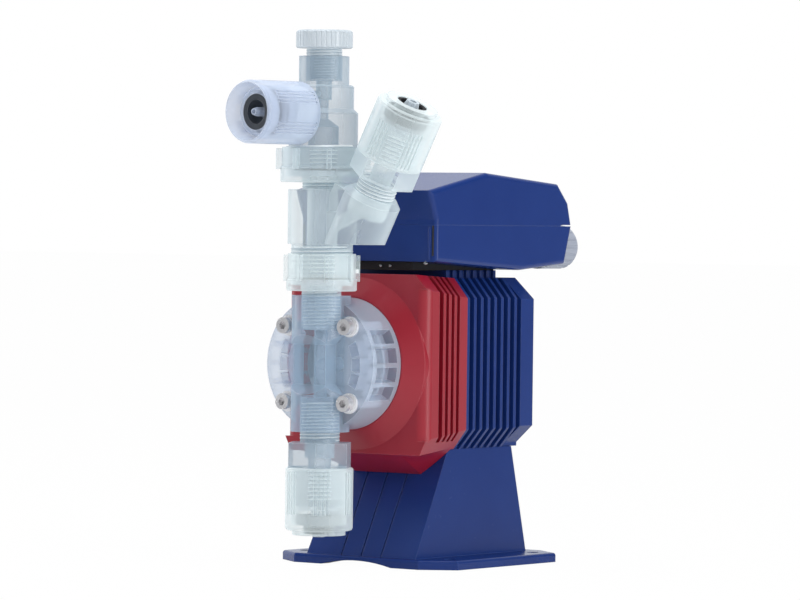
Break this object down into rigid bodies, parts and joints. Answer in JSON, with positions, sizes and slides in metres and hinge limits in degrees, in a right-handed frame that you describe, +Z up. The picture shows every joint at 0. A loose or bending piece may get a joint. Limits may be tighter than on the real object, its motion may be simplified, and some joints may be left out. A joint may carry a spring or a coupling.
{
  "type": "diaphragm metering pump",
  "caption": "Solenoid-driven diaphragm metering pump with finned housing, clear head, ball check valves, inclined hose outlet, vent screw and rear control unit.",
  "frame": {"origin": "centre of the four base holes, on the underside of the base", "axes": "+Z up; -Y towards the pump head and valves; +X to the right seen from the head end, the side of the inclined outlet"},
  "size_m": [0.13, 0.2391, 0.2824],
  "materials": {
    "blue_housing": "deep blue moulded plastic",
    "red_housing": "satin red coating",
    "frosted_fitting": "frosted translucent plastic",
    "clear_head": "clear bluish moulded plastic",
    "stainless_bolt": "turned stainless steel",
    "stainless_washer": "bright stamped steel",
    "white_membrane": "white membrane facing",
    "ground_steel": "ground steel",
    "plated_iron": "zinc-plated soft iron",
    "bronze_bush": "sintered bronze",
    "spring_steel": "spring wire",
    "black_polymer": "black moulded plastic",
    "copper_winding": "enamelled copper wire",
    "black_rubber": "black rubber",
    "dark_panel": "dark grey panel",
    "display_pane": "display pane",
    "board_laminate": "circuit laminate",
    "grey_key": "light grey key",
    "grey_knob": "light grey knob",
    "grey_clamp": "grey clamp ring",
    "dark_clamp": "dark clamp ring",
    "ceramic_ball": "polished ceramic"
  },
  "bodies": {
    "pump": {"base_stand": "blue_housing", "solenoid_housing": "blue_housing", "control_case": "blue_housing", "control_cover": "blue_housing", "front_housing": "red_housing", "pump_head": "clear_head", "head_bolts": "stainless_bolt", "head_washers": "stainless_washer", "diaphragm": "white_membrane", "pole_plate": "plated_iron", "solenoid_yoke": "plated_iron", "shaft_bush": "bronze_bush", "return_spring": "spring_steel", "coil_bobbin": "black_polymer", "coil_winding": "copper_winding", "case_gasket": "black_rubber", "union_gaskets": "black_rubber", "control_panel": "dark_panel", "display_window": "display_pane", "circuit_board": "board_laminate", "key_switch_pad": "grey_key", "rate_control": "black_polymer", "power_gland": "black_polymer", "signal_socket": "black_polymer", "suction_nut": "frosted_fitting", "suction_adapter": "frosted_fitting", "suction_nozzle": "frosted_fitting", "suction_clamp": "grey_clamp", "discharge_nut": "frosted_fitting", "discharge_adapter": "frosted_fitting", "discharge_nozzle": "frosted_fitting", "discharge_clamp": "dark_clamp", "vent_nut": "frosted_fitting", "vent_adapter": "frosted_fitting", "vent_nozzle": "frosted_fitting", "vent_clamp": "dark_clamp", "suction_valve_lower": "frosted_fitting", "suction_valve_upper": "frosted_fitting", "discharge_valve_lower": "frosted_fitting", "discharge_valve_upper": "frosted_fitting", "discharge_fitting": "frosted_fitting", "lower_union_nut": "frosted_fitting", "upper_union_nut": "frosted_fitting", "union_tail": "frosted_fitting", "branch_body": "frosted_fitting", "vent_body": "frosted_fitting"},
    "drive": {"diaphragm_core": "white_membrane", "drive_shaft": "ground_steel", "plunger": "plated_iron"},
    "vent_screw": {"vent_knob": "frosted_fitting", "vent_plug": "frosted_fitting"},
    "rate_dial": {"rate_knob": "grey_knob"},
    "suction_lower_check": {"suction_ball_lower": "ceramic_ball"},
    "suction_upper_check": {"suction_ball_upper": "ceramic_ball"},
    "discharge_lower_check": {"discharge_ball_lower": "ceramic_ball"},
    "discharge_upper_check": {"discharge_ball_upper": "ceramic_ball"},
    "button_1": {"key_1": "grey_key"},
    "button_2": {"key_2": "grey_key"},
    "button_3": {"key_3": "grey_key"},
    "button_4": {"key_4": "grey_key"}
  },
  "joints": [
    {"name": "diaphragm_stroke", "type": "slide", "parent": "pump", "child": "drive", "axis": [0, -1, 0], "range_m": [0, 0.00125], "stiffness_N_per_m": 6000, "springref_m": -0.002, "deforming": ["return_spring"]},
    {"name": "vent_turn", "type": "hinge", "parent": "pump", "child": "vent_screw", "pos_m": [0, -0.0896, 0.273], "axis": [0, 0, 1], "range_deg": [0, 360]},
    {"name": "rate_turn", "type": "hinge", "parent": "pump", "child": "rate_dial", "pos_m": [0.0285, 0.065, 0.1698], "axis": [0, 1, 0], "range_deg": [0, 270]},
    {"name": "suction_lower_lift", "type": "slide", "parent": "pump", "child": "suction_lower_check", "axis": [0, 0, 1], "range_m": [0, 0.0012]},
    {"name": "suction_upper_lift", "type": "slide", "parent": "pump", "child": "suction_upper_check", "axis": [0, 0, 1], "range_m": [0, 0.0012]},
    {"name": "discharge_lower_lift", "type": "slide", "parent": "pump", "child": "discharge_lower_check", "axis": [0, 0, 1], "range_m": [0, 0.0012]},
    {"name": "discharge_upper_lift", "type": "slide", "parent": "pump", "child": "discharge_upper_check", "axis": [0, 0, 1], "range_m": [0, 0.0012]},
    {"name": "key_1_press", "type": "slide", "parent": "pump", "child": "button_1", "axis": [0, -1, 0], "range_m": [0, 0.0006], "stiffness_N_per_m": 400, "springref_m": -0.0005},
    {"name": "key_2_press", "type": "slide", "parent": "pump", "child": "button_2", "axis": [0, -1, 0], "range_m": [0, 0.0006], "stiffness_N_per_m": 400, "springref_m": -0.0005},
    {"name": "key_3_press", "type": "slide", "parent": "pump", "child": "button_3", "axis": [0, -1, 0], "range_m": [0, 0.0006], "stiffness_N_per_m": 400, "springref_m": -0.0005},
    {"name": "key_4_press", "type": "slide", "parent": "pump", "child": "button_4", "axis": [0, -1, 0], "range_m": [0, 0.0006], "stiffness_N_per_m": 400, "springref_m": -0.0005}
  ]
}
